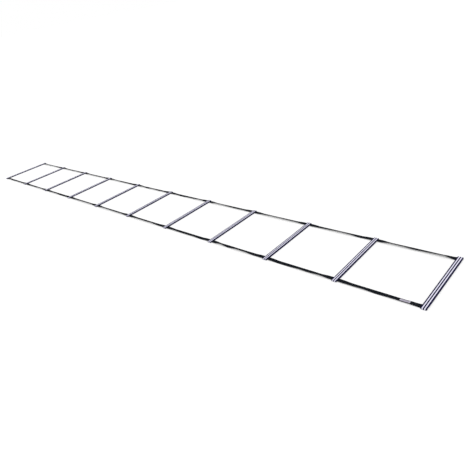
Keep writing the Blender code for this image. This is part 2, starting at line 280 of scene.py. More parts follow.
# %% [markdown]
# ## Modelling helpers
# An operator acts on whatever is selected, and the frame arrives with everything selected.
# So a helper that uses one first clears the selection. A bench tool is only as good as its
# grip: `editing` opens one piece in edit mode, and `pick` takes edges by a test on where
# they lie, the way a hand would click on them. A direction runs mostly, wholly or barely
# along an axis by its share of it, and a small round takes two or three steps.
# %% Helpers for adding, picking and rounding
MOSTLY = 0.9
WHOLLY = 0.99
BARELY = 0.1
COARSE = 2
FINE = 3


def choose(*pieces):
    """Select some objects and nothing else, and make the first one active."""
    bpy.ops.object.select_all(action="DESELECT")
    for piece in pieces:
        piece.select_set(True)
    bpy.context.view_layer.objects.active = pieces[0]


def block(name, low, high):
    """Add a cube that fills the room between two corners."""
    low, high = Vector(low), Vector(high)
    bpy.ops.object.select_all(action="DESELECT")
    bpy.ops.mesh.primitive_cube_add(size=1, location=(low + high) / 2, scale=high - low)
    piece = bpy.context.object
    piece.name = name
    bpy.ops.object.transform_apply()
    return piece


@contextlib.contextmanager
def editing(piece, mode="EDGE"):
    """Edit one piece, starting with nothing picked."""
    choose(piece)
    bpy.ops.object.mode_set(mode="EDIT")
    bpy.ops.mesh.select_mode(type=mode)
    bpy.ops.mesh.select_all(action="DESELECT")
    yield
    bpy.ops.object.mode_set(mode="OBJECT")


def pick(test):
    """Pick the edges of the edited piece that pass a test on their middle and direction."""
    mesh = bmesh.from_edit_mesh(bpy.context.object.data)
    count = 0
    for edge in mesh.edges:
        first, second = (vertex.co for vertex in edge.verts)
        if test((first + second) / 2, (second - first).normalized()):
            edge.select_set(True)
            count += 1
    bmesh.update_edit_mesh(bpy.context.object.data)
    return count


def round_edges(piece, radius, steps, test):
    """Round the edges that pass a test."""
    with editing(piece):
        count = pick(test)
        bpy.ops.mesh.bevel(offset=radius, segments=steps, affect="EDGES", clamp_overlap=True)
    return count


print("helpers:", [helper.__name__ for helper in (choose, block, editing, pick, round_edges)])

# %% [markdown]
# ## Cutting, copying and joining
# A modifier is put on and applied at once, which leaves a plain mesh for the next step. A
# copy gets a mesh of its own, and its place inside that mesh, because a finished object has
# to sit at the origin.
# %% Helpers for cutting, copying and joining
def finish_with(piece, kind, **settings):
    """Put a modifier on a piece and apply it."""
    choose(piece)
    step = piece.modifiers.new(kind.lower(), kind)
    for name, value in settings.items():
        setattr(step, name, value)
    bpy.ops.object.modifier_apply(modifier=step.name)


def combine(piece, tool, operation):
    """Cut a piece with a tool or join the tool to it, and clear the tool away."""
    finish_with(piece, "BOOLEAN", operation=operation, solver="EXACT", object=tool)
    bpy.data.objects.remove(tool, do_unlink=True)


def copy_of(piece, name, move=(0, 0, 0), turn=0.0):
    """Copy a piece with its own mesh, turned about Z and moved inside that mesh."""
    copy = piece.copy()
    copy.data = piece.data.copy()
    copy.name = copy.data.name = name
    copy.data.transform(Matrix.Translation(move) @ Matrix.Rotation(turn, 4, "Z"))
    bpy.context.scene.collection.objects.link(copy)
    return copy


def joined(pieces):
    """Join several objects into the first."""
    choose(*pieces)
    bpy.ops.object.join()
    return pieces[0]


def smooth_faces(piece, degrees):
    """Shade a piece smooth, except over edges sharper than an angle."""
    choose(piece)
    bpy.ops.object.shade_smooth_by_angle(angle=math.radians(degrees))


helpers = (finish_with, combine, copy_of, joined, smooth_faces)
print("helpers:", [helper.__name__ for helper in helpers])

# %% [markdown]
# ## The blank of a slat
# A slat is one moulding: a flat bar with round corners, soft upper rims and barely broken
# lower ones, where the mould closes. It starts as a cube, and each kind of rim is picked by
# where it lies. The order matters, because the upper rim can only run round the corners
# once these are round.
# %% Model the blank
NEAR = 1e-5
CORNER_RADIUS = 4.5 * MM
CORNER_STEPS = 7
TOP_ROUND = 1.4 * MM
TOP_STEPS = 4
BOTTOM_ROUND = 0.7 * MM

slat = block("slat_pattern", (-SLAT_WIDTH / 2, -SLAT_LENGTH / 2, 0),
             (SLAT_WIDTH / 2, SLAT_LENGTH / 2, SLAT_HEIGHT))
round_edges(slat, CORNER_RADIUS, CORNER_STEPS, lambda middle, way: abs(way.z) > MOSTLY)
round_edges(slat, TOP_ROUND, TOP_STEPS, lambda middle, way: middle.z > SLAT_HEIGHT - NEAR)
round_edges(slat, BOTTOM_ROUND, COARSE, lambda middle, way: middle.z < NEAR)
print("blank:", len(slat.data.polygons), "faces")

# %% [markdown]
# ## Grooves and windows
# Two grooves take the pale bands. Each goes on down both tips, because in the picture the
# stripes run over the very end, so groove and band have the shape of a wire staple. At each
# end a window lets the webbing through. The cutters for them are blocks whose own edges are
# rounded first, and they are kept until everything can be cut away at once.
# %% Make the cutters of grooves and windows
CENTRE_RIB = 6.2 * MM
GROOVE_WIDTH = 5.2 * MM
GROOVE_DEPTH = 1.0 * MM
GROOVE_FOOT = 1.4 * MM
STAPLE_CORNER = 0.5 * MM
WINDOW_HALF = 13.0 * MM
WINDOW_TOP = 5.6 * MM
WINDOW_ROUND = 0.6 * MM
PAST = 3.0 * MM


def staple(name, sides, outer, inner, foot):
    """A bar along Y with both ends turned down. Outer and inner each hold a reach and a top."""
    piece = block(name, (sides[0], -outer[0], foot), (sides[1], outer[0], outer[1]))
    hollow = block("hollow", (sides[0] - PAST, -inner[0], foot - PAST),
                   (sides[1] + PAST, inner[0], inner[1]))
    round_edges(hollow, STAPLE_CORNER, COARSE,
                lambda middle, way: abs(way.x) > MOSTLY and middle.z > inner[1] - NEAR)
    combine(piece, hollow, "DIFFERENCE")
    return piece


cutters = []
for side in (-1, 1):
    sides = sorted((side * CENTRE_RIB / 2, side * (CENTRE_RIB / 2 + GROOVE_WIDTH)))
    groove = staple("groove", sides, (SLAT_LENGTH / 2 + PAST, SLAT_HEIGHT + PAST),
                    (SLAT_LENGTH / 2 - GROOVE_DEPTH, SLAT_HEIGHT - GROOVE_DEPTH), GROOVE_FOOT)
    window = block("window", (-SLAT_WIDTH, side * WEBBING_PLACE - WINDOW_HALF, -PAST),
                   (SLAT_WIDTH, side * WEBBING_PLACE + WINDOW_HALF, WINDOW_TOP))
    round_edges(window, WINDOW_ROUND, FINE,
                lambda middle, way: abs(way.x) > MOSTLY and middle.z > 0)
    cutters += [groove, window]
print(len(cutters), "cutters for grooves and windows")

# %% [markdown]
# ## Pockets below
# From below a slat is hollow between its ribs, because a thick moulding would sink and warp
# as it cools. Only a pad in the middle stays solid. One pocket is made and copied to all its
# places, and then the joined cutters take everything away at once.
# %% Add the pockets and cut the slat
POCKET_TOP = 5.0 * MM
POCKET_CORNER = 1.2 * MM
POCKET_ROUND = 0.6 * MM
POCKET_WALL = 2.4 * MM
POCKET_RIB = 2.2 * MM
PAD_LENGTH = 24.0 * MM
LOOP_WALL = 4.0 * MM
POCKETS = 3

pocket_start = PAD_LENGTH / 2
pocket_end = WEBBING_PLACE - WINDOW_HALF - LOOP_WALL
pocket_length = (pocket_end - pocket_start - (POCKETS - 1) * POCKET_RIB) / POCKETS
pocket_low, pocket_high = POCKET_RIB / 2, SLAT_WIDTH / 2 - POCKET_WALL
pocket = block("pocket", (pocket_low, pocket_start, -PAST),
               (pocket_high, pocket_start + pocket_length, POCKET_TOP))
round_edges(pocket, POCKET_CORNER, FINE, lambda middle, way: abs(way.z) > MOSTLY)
round_edges(pocket, POCKET_ROUND, COARSE, lambda middle, way: middle.z > POCKET_TOP - NEAR)
for shift in (0, -(pocket_low + pocket_high)):
    for place in range(POCKETS):
        along = place * (pocket_length + POCKET_RIB)
        back = -2 * pocket_start - pocket_length - along
        cutters += [copy_of(pocket, "pocket", (shift, end, 0)) for end in (along, back)]
bpy.data.objects.remove(pocket, do_unlink=True)
combine(slat, joined(cutters), "DIFFERENCE")
print("cut slat:", len(slat.data.polygons), "faces,", 4 * POCKETS, "pockets")

# %% [markdown]
# ## Bars in the windows, and broken edges
# The webbing runs over a bar that bridges each window, and in the end slats it also turns
# round it, so the bar has nearly half-round edges. Then every lip of a groove is broken by
# about a third of a millimetre. On a real moulding no edge is razor sharp, and that small
# round is what catches a line of light. A lip is picked by how close it lies to the skin.
# %% Add the bars and break the lips
BAR_LOW = 2.0 * MM
BAR_HIGH = 3.6 * MM
BAR_SET_BACK = 2.85 * MM
BAR_HALF = SLAT_WIDTH / 2 - BAR_SET_BACK
BAR_LET_IN = 1.5 * MM
BAR_ROUND = 0.7 * MM
LIP = 0.3 * MM
SKIN = 0.4 * MM


def in_skin(middle, reach, top):
    """Tell whether a place lies near the upper side or the tips of a bar along Y."""
    return max(abs(middle.y) - reach, middle.z - top) > -SKIN


bars = []
for side in (-1, 1):
    reach = WINDOW_HALF + BAR_LET_IN
    bar = block("bar", (-BAR_HALF, side * WEBBING_PLACE - reach, BAR_LOW),
                (BAR_HALF, side * WEBBING_PLACE + reach, BAR_HIGH))
    round_edges(bar, BAR_ROUND, FINE, lambda middle, way: abs(way.y) > MOSTLY)
    bars.append(bar)
combine(slat, joined(bars), "UNION")

groove_sides = (CENTRE_RIB / 2, CENTRE_RIB / 2 + GROOVE_WIDTH)
lips = round_edges(slat, LIP, COARSE, lambda middle, way: abs(way.x) < BARELY
                   and in_skin(middle, SLAT_LENGTH / 2, SLAT_HEIGHT)
                   and min(abs(abs(middle.x) - side) for side in groove_sides) < NEAR)
finish_with(slat, "WELD", merge_threshold=NEAR)
smooth_faces(slat, 32)
print("lips broken:", lips, "edges;", len(slat.data.polygons), "faces")

# %% [markdown]
# ## Pale bands
# Each groove holds a band of another plastic that stands a hair proud of the slat and turns
# down over both tips with the slat's own round. Its top is faintly crowned: the inner part
# is inset and raised by less than a tenth of a millimetre, so that it never mirrors the
# light as a perfect sheet would.
# %% Model a band
BAND_GAP = 0.12 * MM
BAND_DEPTH = 0.9 * MM
BAND_RIM = 0.35 * MM
BAND_REACH = SLAT_LENGTH / 2 - 0.05 * MM
BAND_TOP = SLAT_HEIGHT + 0.1 * MM
BAND_INSET = 1.4 * MM
BAND_CROWN = 0.08 * MM

band = staple("band_pattern",
              (CENTRE_RIB / 2 + BAND_GAP, CENTRE_RIB / 2 + GROOVE_WIDTH - BAND_GAP),
              (BAND_REACH, BAND_TOP), (BAND_REACH - BAND_DEPTH, BAND_TOP - BAND_DEPTH),
              GROOVE_FOOT + BAND_GAP)
round_edges(band, TOP_ROUND, TOP_STEPS,
            lambda middle, way: abs(way.x) > MOSTLY and middle.z > BAND_TOP - NEAR)
round_edges(band, BAND_RIM, FINE,
            lambda middle, way: abs(way.x) < BARELY and in_skin(middle, BAND_REACH, BAND_TOP))
with editing(band, "FACE"):
    mesh = bmesh.from_edit_mesh(band.data)
    for face in mesh.faces:
        face.select_set(face.normal.z > WHOLLY)
    bpy.ops.mesh.inset(thickness=BAND_INSET)
    bpy.ops.transform.translate(value=(0, 0, BAND_CROWN))
smooth_faces(band, 40)
band_high = max(vertex.co.z for vertex in band.data.vertices)
print("band top at", round(band_high / MM, 2), "mm")

# %% [markdown]
# ## Eleven slats, twenty-two bands
# What repeats is modelled once and copied, each copy with its own mesh. The end slats are
# held by sewn webbing and belong to the end links. The nine inner ones can slide a little
# along the webbing, so each of those rides on a body of its own.
# %% Place the slats and bands
slat_pieces, band_pieces = [], []
for number, place in enumerate(rung_places, start=1):
    digits = f"{number:02d}"
    body = f"link_{digits}" if number in (1, RUNG_COUNT) else f"sliding_rung_{digits}"
    piece = copy_of(slat, f"slat_{digits}", (place, 0, 0))
    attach(piece, body)
    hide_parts(f"rung_{digits}")
    slat_pieces.append(piece)
    for groove, shift in (("front", 0), ("back", -CENTRE_RIB - GROOVE_WIDTH)):
        piece = copy_of(band, f"pale_band_{digits}_{groove}", (place + shift, 0, 0))
        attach(piece, body)
        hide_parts(f"inlay_{digits}_{groove}")
        band_pieces.append(piece)
for pattern in (slat, band):
    bpy.data.objects.remove(pattern, do_unlink=True)
print(len(slat_pieces), "slats and", len(band_pieces), "bands")

# %% [markdown]
# ## How the webbing lies
# The webbing doesn't lie flat: it leaves each slat level, comes down to the floor and leans
# on one of its edges, which is why it looks thick in some places and thin in others. The
# frame holds that lie as sections, one every two centimetres or so. Reading them saves
# writing the same numbers twice.
# %% Read the sections of each webbing
TURN_PLACE = rung_places[0] + SLAT_WIDTH / 2 - BAR_SET_BACK


def read_sections(side):
    """Give x, level and tilt of each section of a side's upper webbing, from the frame."""
    middle = WEBBING_PLACE if side == "far" else -WEBBING_PLACE
    sections = {}
    for number in range(1, RUNG_COUNT + 1):
        for vertex in bpy.data.objects[f"{side}_strap_{number:02d}"].data.vertices:
            x, y, z = (round(part, 6) for part in vertex.co)
            edges = sections.setdefault(round(x, 5), (set(), set()))
            edges[int(y > middle)].add((y, z))
    found = []
    for x, edges in sorted(sections.items()):
        if abs(x) < TURN_PLACE + NEAR:
            upper = [sorted(edge, key=lambda corner: corner[1])[-2:] for edge in edges]
            first, second = (np.mean(corners, axis=0) for corners in upper)
            tilt = math.atan2(first[1] - second[1], second[0] - first[0])
            found.append((x, (first[1] + second[1]) / 2, tilt))
    return np.array(found)


sections = {side: read_sections(side) for side in ("near", "far")}
print({side: len(rows) for side, rows in sections.items()}, "sections")

# %% [markdown]
# ## The line of the webbing
# The sections are joined by a line that is then eased, because webbing doesn't kink. Where
# an end is sewn under it, the frame leaves more room between the layers than sewn cloth has,
# so there the line is let down by the difference. It never sinks into the floor.
# %% Ease the line of each webbing
FLOOR_GAP = 0.3 * MM
LINE_STEP = 2.5 * MM
SLOT_LEVEL = 4.6 * MM
LAP_LENGTH = 50 * MM
LAP_RISE = 16 * MM
LAP_EASE = 4 * MM
LAP_SEAM = 0.05 * MM
FRAME_SEAM = 0.3 * MM
TILT_EASE = 4
LEVEL_EASE = 2
slat_edge = rung_places[0] - SLAT_WIDTH / 2
lap_end = slat_edge - LAP_LENGTH


def eased(values, width):
    """Smooth a row of values with a moving mean that keeps its ends."""
    padded = np.pad(values, width, mode="edge")
    return np.convolve(padded, np.ones(2 * width + 1) / (2 * width + 1), mode="valid")


def level_on_floor(tilt):
    """Height of the middle of tilted webbing whose lower edge is just above the floor."""
    return FLOOR_GAP + (WEBBING_WIDTH * np.sin(tilt) + WEBBING_THICKNESS * np.cos(tilt)) / 2


lines = {}
places = np.arange(-TURN_PLACE, TURN_PLACE + LINE_STEP, LINE_STEP)
lap = (lap_end - LAP_EASE, lap_end, slat_edge - LAP_RISE, slat_edge)
lapped = np.interp(np.abs(places), lap, (0, 1, 1, 0))
for side, rows in sections.items():
    tilt = eased(np.interp(places, rows[:, 0], rows[:, 2]), TILT_EASE)
    level = np.interp(places, rows[:, 0], rows[:, 1])
    level = eased(level - (FRAME_SEAM - LAP_SEAM) * lapped, LEVEL_EASE)
    lines[side] = (places, np.maximum(level, level_on_floor(tilt)), tilt)
    print(side, "webbing leans up to", round(math.degrees(tilt.max()), 1), "degrees")

# %% [markdown]
# ## A flat strip of webbing
# Webbing has round, slightly stiffer edges and a low rib for each column of its weave. Its
# section is a small upright plane whose corners are bevelled and whose long sides are
# divided, with every second point drawn in. Pulling it along step by step makes a strip
# with enough rings to bend. It is made flat, because the weave has to know where it is on
# the cloth: those flat places are kept as an attribute before the strip is laid.
# %% Pull out flat strips
CORNER_SHARE = 0.38
COLUMNS = 12
COLUMN = (WEBBING_WIDTH - 2 * CORNER_SHARE * WEBBING_THICKNESS) / COLUMNS
VALLEY_SHARE = 0.84
VALLEY_SLACK = 0.05


def is_valley(vertex):
    """Tell whether a point of the webbing's section lies between two columns."""
    halves = vertex.co.y / (COLUMN / 2)
    between = round(halves) % 2 == 0 and abs(halves - round(halves)) < VALLEY_SLACK
    return between and abs(vertex.co.y) < WEBBING_WIDTH / 2 - COLUMN / 2


def flat_strip(name, width, thickness, stops, columns=0):
    """Pull a rounded section, ribbed if it has columns, through a row of stops along X."""
    bpy.ops.object.select_all(action="DESELECT")
    bpy.ops.mesh.primitive_plane_add(size=1, rotation=(0, math.radians(90), 0))
    strip = bpy.context.object
    strip.name = name
    bpy.ops.object.transform_apply()
    with editing(strip, "VERT"):
        bpy.ops.mesh.select_all(action="SELECT")
        bpy.ops.transform.resize(value=(1, width, thickness))
        bpy.ops.mesh.bevel(offset=CORNER_SHARE * thickness, segments=FINE, affect="VERTICES")
        if columns:
            bpy.ops.mesh.select_all(action="DESELECT")
            pick(lambda middle, way: abs(way.y) > WHOLLY)
            bpy.ops.mesh.subdivide(number_cuts=2 * columns - 1)
            bpy.ops.mesh.select_all(action="DESELECT")
            for vertex in bmesh.from_edit_mesh(strip.data).verts:
                vertex.select_set(is_valley(vertex))
            bpy.ops.transform.resize(value=(1, 1, VALLEY_SHARE))
            bpy.ops.mesh.select_all(action="SELECT")
        bpy.ops.transform.translate(value=(stops[0], 0, 0))
        for first, second in zip(stops, stops[1:]):
            bpy.ops.mesh.extrude_region_move(
                TRANSFORM_OT_translate={"value": (second - first, 0, 0)})
        bpy.ops.mesh.select_all(action="SELECT")
        bpy.ops.mesh.normals_make_consistent(inside=False)
    smooth_faces(strip, 50)
    return strip


print(COLUMNS, "columns of", round(COLUMN / MM, 2), "mm across the webbing")

# %% [markdown]
# ## A strip for each square
# A strip runs from one slat to the next. Its rings stand closer where it will fold, and
# where it turns round a bar, because a bend needs a ring every few degrees to look round.
# How much of a strip bends follows from the height of its hinge.
# %% Strips with rings where they bend
TURN_RADIUS = (SLOT_LEVEL - level_on_floor(0.0)) / 2
STRIP_STEP = 8.0 * MM
TURN_STEP = 0.47 * MM
BEND_SHARE = 0.3
BEND_RINGS = 24

pitch = rung_places[0] - rung_places[1]
turn_start = TURN_PLACE - rung_places[1]
turn_end = turn_start + math.pi * TURN_RADIUS
tail_end = turn_end + TURN_PLACE - lap_end
joints = {joint["name"]: joint for joint in frame["joints"]}
bend_halves = {square: BEND_SHARE * joints[f"fold_{square:02d}"]["pos_m"][2]
               for square in range(1, RUNG_COUNT)}


def stops_between(start, end, step):
    """Evenly spaced places from start to end."""
    return list(np.linspace(start, end, max(1, round((end - start) / step)) + 1))


def strip_for(square):
    """Pull out the strip of one square, with close rings where it folds and where it turns."""
    before, after = pitch / 2 - bend_halves[square], pitch / 2 + bend_halves[square]
    at_end = square in (1, RUNG_COUNT - 1)
    runs = [(0, before, STRIP_STEP), (before, after, (after - before) / BEND_RINGS),
            (after, turn_start if at_end else pitch, STRIP_STEP)]
    if at_end:
        runs += [(turn_start, turn_end, TURN_STEP), (turn_end, tail_end, STRIP_STEP)]
    stops = [0.0]
    for run in runs:
        stops += stops_between(*run)[1:]
    return flat_strip("strip", WEBBING_WIDTH, WEBBING_THICKNESS, stops, COLUMNS)


print("bends take", [round(2 * half / MM) for half in bend_halves.values()], "mm of webbing")

# %% [markdown]
# ## The path of the webbing
# A path tells for each place along a flat strip where its middle goes, and which ways its
# width and its outside point. The end strips go on round the bar and back under themselves,
# which is how the real one is sewn fast.
# %% From flat places to the ladder
def path_of(side, start, way):
    """Give the webbing's middle, width and outward direction for flat places along it."""
    places, levels, tilts = lines[side]
    y = WEBBING_PLACE if side == "far" else -WEBBING_PLACE

    def path(along):
        back = np.clip(along - turn_end, 0, None)
        x = start + way * (np.minimum(along, turn_start) - back)
        under = along > turn_end
        tilt = np.interp(x, places, tilts)
        tilt[under & (np.abs(x) > slat_edge)] = 0
        level = np.where(under, level_on_floor(tilt), np.interp(x, places, levels))
        shift = np.where(under, -(WEBBING_THICKNESS + LAP_SEAM) * np.sin(tilt), 0)
        zero = np.zeros_like(along)
        centre = np.stack((x, y + shift, level), axis=1)
        across = np.stack((zero, np.cos(tilt), -np.sin(tilt)), axis=1)
        out = np.stack((zero, np.sin(tilt), np.cos(tilt)), axis=1)
        out[under] *= -1
        angle = np.clip((along - turn_start) / TURN_RADIUS, 0, math.pi)
        turning = (along > turn_start) & ~under
        out[turning] = np.stack((way * np.sin(angle), zero, np.cos(angle)), axis=1)[turning]
        bar = np.array((start + way * turn_start, y, SLOT_LEVEL - TURN_RADIUS))
        centre[turning] = bar + out[turning] * TURN_RADIUS
        across[turning] = (0, 1, 0)
        return centre, across * way, out
    return path


turn_ends = [round(end / MM, 1) for end in (turn_start, turn_end)]
print("an end strip goes round its bar between", turn_ends, "mm")

# %% [markdown]
# ## Lay the webbing
# Each strip runs from slat to slat, so that one fold hinge lies in it. A strip is laid by
# moving every point to its place on the webbing's path.
# %% Lay the strips
def flat_places(mesh):
    """Read a mesh's points as rows of three."""
    places = np.empty(3 * len(mesh.vertices))
    mesh.vertices.foreach_get("co", places)
    return places.reshape(-1, 3)


def lay(piece, path, offset, lift=0.0):
    """Bend a flat strip along a path, and keep its flat places for the weave."""
    flat = flat_places(piece.data)
    weave = piece.data.attributes.new("weave_place", "FLOAT_VECTOR", "POINT")
    weave.data.foreach_set("vector", (flat + (offset, 0, 0)).ravel())
    centre, across, out = path(flat[:, 0])
    laid = centre + across * flat[:, 1:2] + out * (flat[:, 2:3] + lift)
    piece.data.vertices.foreach_set("co", laid.ravel())
    piece.data.update()


webbing_pieces = []
for square in range(1, RUNG_COUNT):
    strip = strip_for(square)
    start, way = (rung_places[square - 1], -1) if square == RUNG_COUNT - 1 \
        else (rung_places[square], 1)
    for side in ("near", "far"):
        piece = copy_of(strip, f"{side}_webbing_{square:02d}")
        lay(piece, path_of(side, start, way), start)
        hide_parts(f"{side}_strap_{square:02d}", f"{side}_strap_{square + 1:02d}")
        webbing_pieces.append(piece)
    bpy.data.objects.remove(strip, do_unlink=True)
print(len(webbing_pieces), "pieces of webbing")

# %% [markdown]
# ## The fold hinges
# A fold hinge sits above the middle of each strip. Each strip reads its hinge from the
# frame, with a reach to either side of three tenths of the hinge's height, and its place is
# then baked into its mesh. Black cloth hides a stretch better than a sag.
# %% Read each strip's hinge
for piece in webbing_pieces:
    square = int(piece.name[-2:])
    hinge = Vector(joints[f"fold_{square:02d}"]["pos_m"])
    hinge.x + bend_halves[square]
    hinge.x - bend_halves[square]
    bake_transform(piece)
hinge_heights = [half / BEND_SHARE for half in bend_halves.values()]
print("hinges at", [round(height / MM) for height in hinge_heights], "mm above the floor")

# %% [markdown]
# ## One stitch
# A stitch is a low sphere, drawn out into a grain of rice with its ends pulled down into the
# cloth. It has few faces, because hundreds of copies are made of it.
# %% Model one stitch
STITCH_LENGTH = 2.9 * MM
STITCH_WIDTH = 0.65 * MM
STITCH_HEIGHT = 0.34 * MM
STITCH_DIP = 0.12 * MM
STITCH_END_SHARE = 0.45

bpy.ops.object.select_all(action="DESELECT")
bpy.ops.mesh.primitive_uv_sphere_add(segments=8, ring_count=5, radius=0.5,
                                     rotation=(0, math.radians(90), 0))
stitch = bpy.context.object
bpy.ops.object.transform_apply()
with editing(stitch, "VERT"):
    bpy.ops.mesh.select_all(action="SELECT")
    bpy.ops.transform.resize(value=(STITCH_LENGTH, STITCH_WIDTH, STITCH_HEIGHT))
    bpy.ops.mesh.select_all(action="DESELECT")
    mesh = bmesh.from_edit_mesh(stitch.data)
    for vertex in mesh.verts:
        vertex.select_set(abs(vertex.co.x) > STITCH_END_SHARE * STITCH_LENGTH)
    bpy.ops.transform.translate(value=(0, 0, -STITCH_DIP))
smooth_faces(stitch, 70)
print("a stitch has", len(stitch.data.polygons), "faces")

# %% [markdown]
# ## Sewn laps
# The webbing's end comes back under itself and is sewn fast in a box with a cross, the
# strongest of the simple seams. The stitches are set out flat, for the upper and the under
# side at once, and the flat seam is then laid on the webbing's own path.
# %% Sew the laps
STITCH_PITCH = 3.3 * MM
BOX_MIDDLE = 47 * MM
BOX_LENGTH = 28 * MM
BOX_WIDTH = 19 * MM


def sew(start, end):
    """Copy the stitch along a straight line in the flat."""
    start, end = Vector(start), Vector(end)
    line = end - start
    count = max(1, round(line.length / STITCH_PITCH))
    turn = math.atan2(line.y, line.x)
    middles = [start + line * (place + 0.5) / count for place in range(count)]
    return [copy_of(stitch, "stitch", (*middle, 0), turn) for middle in middles]


def sewn_box(middle):
    """Sew a box with a cross, round a place along the webbing."""
    corners = [(middle + along * BOX_LENGTH / 2, across * BOX_WIDTH / 2)
               for along, across in ((-1, -1), (1, -1), (1, 1), (-1, 1))]
    rows = ((0, 1), (1, 2), (2, 3), (3, 0), (0, 2), (1, 3))
    return [one for first, last in rows for one in sew(corners[first], corners[last])]


upper = pitch - BOX_MIDDLE
flat_seam = joined(sewn_box(upper) + sewn_box(turn_start + turn_end - upper))
seams = []
for side in ("near", "far"):
    for number, start, way in ((1, rung_places[1], 1), (RUNG_COUNT, rung_places[-2], -1)):
        seam = copy_of(flat_seam, f"{side}_lap_stitches_{number:02d}")
        lay(seam, path_of(side, start, way), start, lift=WEBBING_THICKNESS / 2)
        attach(seam, f"link_{number:02d}")
        seams.append(seam)
bpy.data.objects.remove(flat_seam, do_unlink=True)
print(len(seams), "sewn laps of", len(seams[0].data.polygons), "faces each")

# %% [markdown]
# ## A bare woven label
# A small woven label is sewn on the near webbing beside the first slat. It is one plain
# ribbon whose two ends are turned under before it is sewn, so that they can't fray, and
# each end is therefore two layers thick. It is pulled out flat, as it comes off the roll,
# and then laid: back along the webbing, round the fold, over the top, and the same again at
# the other end.
# %% Lay the label
LABEL_CENTRE = 90 * MM
LABEL_LENGTH = 48 * MM
LABEL_WIDTH = 16.8 * MM
LABEL_CLOTH = 0.25 * MM
TURNED_UNDER = 6 * MM
LABEL_AIR = 0.03 * MM
LABEL_EASE = 3 * MM
LABEL_STEP = 1.2 * MM
UNDER_STEP = 2 * MM
FOLD_STEP = 0.07 * MM
FOLD_GAP = 0.01 * MM
FOLD_RADIUS = LABEL_CLOTH / 2 + FOLD_GAP

label_start = pitch - LABEL_CENTRE - LABEL_LENGTH / 2
fold_length = math.pi * FOLD_RADIUS
label_flat = LABEL_LENGTH + 2 * (TURNED_UNDER + fold_length)
webbing_path = path_of("near", rung_places[1], 1)
label_low = WEBBING_THICKNESS / 2 + LABEL_AIR + LABEL_CLOTH / 2


def label_path(along):
    """Give the label's middle, width and outward direction, from one turned end to the other."""
    from_end = np.minimum(along, label_flat - along)
    sign = np.where(along < label_flat / 2, 1.0, -1.0)
    angle = np.clip((from_end - TURNED_UNDER) / FOLD_RADIUS, 0, math.pi)
    under = np.clip(TURNED_UNDER - from_end, 0, None)
    over = np.clip(from_end - TURNED_UNDER - fold_length, 0, None)
    fold = np.where(sign > 0, label_start, label_start + LABEL_LENGTH)
    place = fold + sign * (under + over - FOLD_RADIUS * np.sin(angle))
    ease = np.clip((over - TURNED_UNDER) / LABEL_EASE, 0, 1)
    sink = 2 * FOLD_RADIUS * ease * ease * (3 - 2 * ease)
    centre, across, out = webbing_path(place)
    height = label_low + FOLD_RADIUS * (1 - np.cos(angle)) - sink
    centre = centre + out * height[:, None]
    forward = np.cross(across, out)
    outward = -(forward * (sign * np.sin(angle))[:, None] + out * np.cos(angle)[:, None])
    return centre, across, outward


half_stops = (stops_between(0, TURNED_UNDER, UNDER_STEP)
              + stops_between(TURNED_UNDER, TURNED_UNDER + fold_length, FOLD_STEP)[1:]
              + stops_between(TURNED_UNDER + fold_length, label_flat / 2, LABEL_STEP)[1:])
label = flat_strip("bare_label", LABEL_WIDTH, LABEL_CLOTH,
                   half_stops + [label_flat - stop for stop in reversed(half_stops[:-1])])
lay(label, label_path, 0)
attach(label, "link_01")
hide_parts("sewn_label")
print("label, flat:", [round(side / MM, 1) for side in (LABEL_WIDTH, label_flat)], "mm")

# %% [markdown]
# ## The label's seams
# A short row of thread near each end holds the label on the webbing. It is sewn flat, and
# then laid like the label itself but a little higher.
# %% Sew the label on
LABEL_SEAM_INSET = 2.5 * MM
LABEL_SEAM_MARGIN = 1.0 * MM

seam_half = LABEL_WIDTH / 2 - LABEL_SEAM_MARGIN
rows = (label_start + LABEL_SEAM_INSET, label_start + LABEL_LENGTH - LABEL_SEAM_INSET)
label_seam = joined([one for row in rows for one in sew((row, -seam_half), (row, seam_half))])
label_seam.name = label_seam.data.name = "label_stitches"
lay(label_seam, webbing_path, 0, lift=label_low + 2 * FOLD_RADIUS + LABEL_CLOTH / 2)
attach(label_seam, "link_01")
bpy.data.objects.remove(stitch, do_unlink=True)
print("label's seams:", len(label_seam.data.polygons), "faces")

# %% [markdown]
# ## Finish: navy moulded plastic
# The mould of such a slat is spark eroded, which leaves a fine matt grain. Use adds the
# rest: the long upper rims are rubbed paler where slats knock together in the bundle, and
# thin scratches run across the faces. The rims need no painted mask, because on a rim the
# distance from the slat's middle and the height add up to a known sum.
# %% Navy moulded plastic
NAVY = (0.0065, 0.0056, 0.0430)
RUBBED = (0.034, 0.033, 0.088)
RIM_SUM = SLAT_WIDTH / 2 + SLAT_HEIGHT - (2 - math.sqrt(2)) * TOP_ROUND
RUB_START = 0.5 * MM
RUB_FULL = 0.05 * MM
SCRATCH_SCALES = (45.0, 1500.0, 1.0)


def from_middle(place):
    """Distance from the middle line of the nearest slat."""
    return abs((place.parts()[0] + pitch / 2) % pitch - pitch / 2)


def scratches(place, angle, low, high):
    """Long thin scratches in one direction."""
    drawn_out = place.node("ShaderNodeMapping", Vector=place, Rotation=(0.0, 0.0, angle),
                           Scale=SCRATCH_SCALES)
    return place.node("ShaderNodeTexNoise", Vector=drawn_out, Scale=1.0).rise(low, high)


